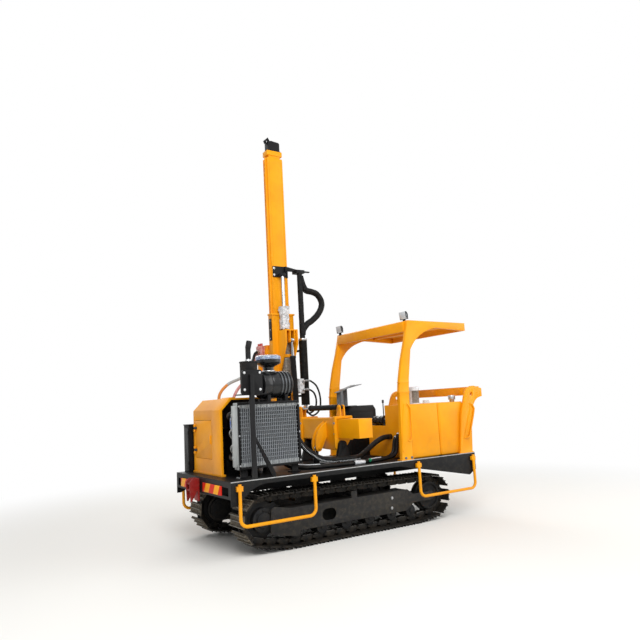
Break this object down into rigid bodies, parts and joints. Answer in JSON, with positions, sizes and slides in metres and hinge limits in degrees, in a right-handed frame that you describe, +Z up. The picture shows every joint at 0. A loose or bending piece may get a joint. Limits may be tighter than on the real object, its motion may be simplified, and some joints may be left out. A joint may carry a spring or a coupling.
{
  "type": "tracked pile driver rig",
  "caption": "Tracked rig with a tall mast on a sliding, leaning arm at its side, a hydraulic hammer on the mast, an engine end, tanks and an operator's canopy.",
  "frame": {"origin": "on the ground, under the middle of the machine's outer box", "axes": "+X towards the tank and canopy end, +Y towards the mast side, +Z up"},
  "size_m": [3.9, 2.4669, 5.672],
  "materials": {
    "yellow_paint": "gloss",
    "black_paint": "satin",
    "track_steel": "rough",
    "dark_iron": "rough",
    "chrome_rod": "polished",
    "hose_rubber": "matte",
    "clear_plastic": "clear",
    "warning_red": "gloss",
    "hitch_red": "satin",
    "white_wrap": "gloss",
    "grey_sheet": "satin",
    "radiator_core": "satin",
    "filter_silver": "satin"
  },
  "bodies": {
    "chassis": {"left_track": "track_steel", "right_track": "track_steel", "drive_sprockets": "dark_iron", "idler_wheels": "dark_iron", "track_rollers": "dark_iron", "track_frames": "black_paint", "deck": "black_paint", "end_panels": "warning_red", "tow_hitch": "hitch_red", "step_rails": "yellow_paint", "hood": "yellow_paint", "engine": "dark_iron", "radiator": "radiator_core", "battery_cabinet": "black_paint", "filter_post": "black_paint", "air_filter": "black_paint", "precleaner": "black_paint", "exhaust": "dark_iron", "hydraulic_tank": "yellow_paint", "fuel_tank": "yellow_paint", "tank_fittings": "white_wrap", "canopy_posts": "yellow_paint", "canopy_hoops": "yellow_paint", "canopy_roof": "yellow_paint", "rear_posts": "yellow_paint", "work_lamps": "black_paint", "control_box": "black_paint", "lever_rack": "grey_sheet", "return_filter": "filter_silver", "suction_line": "hose_rubber", "deck_hoses": "hose_rubber", "pedestals": "black_paint"},
    "door": {"hood_door": "yellow_paint"},
    "slide_frame": {"slide_sleeve": "yellow_paint", "slide_cylinder_barrel": "black_paint"},
    "arm": {"slide_arm": "yellow_paint", "slide_cylinder_rod": "chrome_rod"},
    "lean_barrel": {"lean_cylinder_barrel": "black_paint"},
    "lean_rod": {"lean_cylinder_rod": "chrome_rod"},
    "tilt_barrel": {"tilt_cylinder_barrel": "black_paint"},
    "tilt_rod": {"tilt_cylinder_rod": "chrome_rod"},
    "carriage": {"mast_carriage": "yellow_paint", "lift_cylinder_barrel": "black_paint", "carriage_hoses": "hose_rubber", "valve_hoses": "hose_rubber", "valve_block": "white_wrap"},
    "mast_body": {"mast": "yellow_paint", "mast_head": "black_paint", "mast_bracket": "black_paint", "lift_cylinder_rod": "chrome_rod", "mast_hoses": "hose_rubber"},
    "hammer_body": {"hammer": "yellow_paint", "hammer_hoses": "hose_rubber", "drive_cap": "dark_iron"}
  },
  "joints": [
    {"name": "hood_door_hinge", "type": "hinge", "parent": "chassis", "child": "door", "pos_m": [-1.696, 0.1315, 1.18], "axis": [0, 0, -1], "range_deg": [0, 110]},
    {"name": "frame_lean", "type": "hinge", "parent": "chassis", "child": "slide_frame", "pos_m": [-0.091, -0.2915, 1], "axis": [0, 1, 0], "range_deg": [-10, 10]},
    {"name": "arm_slide", "type": "slide", "parent": "slide_frame", "child": "arm", "axis": [0, 1, 0], "range_m": [0, 0.45]},
    {"name": "mast_tilt", "type": "hinge", "parent": "arm", "child": "carriage", "pos_m": [-0.03, 0.6085, 1.205], "axis": [1, 0, 0], "range_deg": [-10, 10]},
    {"name": "mast_lift", "type": "slide", "parent": "carriage", "child": "mast_body", "axis": [0, 0, 1], "range_m": [-0.35, 0.8], "deforming": ["mast_hoses"]},
    {"name": "hammer_travel", "type": "slide", "parent": "mast_body", "child": "hammer_body", "axis": [0, 0, 1], "range_m": [-0.5, 2.6]},
    {"name": "lean_barrel_turn", "type": "hinge", "parent": "chassis", "child": "lean_barrel", "pos_m": [-0.34, -0.4215, 0.52], "axis": [0, 1, 0], "range_deg": [-1.5, 1.5]},
    {"name": "lean_rod_slide", "type": "slide", "parent": "lean_barrel", "child": "lean_rod", "axis": [0.109, 0, 0.994], "range_m": [-0.036, 0.036]},
    {"name": "tilt_barrel_turn", "type": "hinge", "parent": "arm", "child": "tilt_barrel", "pos_m": [-0.045, 0.4535, 1.42], "axis": [1, 0, 0], "range_deg": [-12.5, 12.5]},
    {"name": "tilt_rod_slide", "type": "slide", "parent": "tilt_barrel", "child": "tilt_rod", "axis": [0, 0.0564, 0.9984], "range_m": [-0.032, 0.032]}
  ],
  "couplings": [
    {"joint": "lean_barrel_turn", "follows": "frame_lean", "ratio": -0.09929},
    {"joint": "lean_rod_slide", "follows": "frame_lean", "m_per_rad": 0.1952},
    {"joint": "tilt_barrel_turn", "follows": "mast_tilt", "ratio": 1.1969},
    {"joint": "tilt_rod_slide", "follows": "mast_tilt", "m_per_rad": -0.16688}
  ]
}
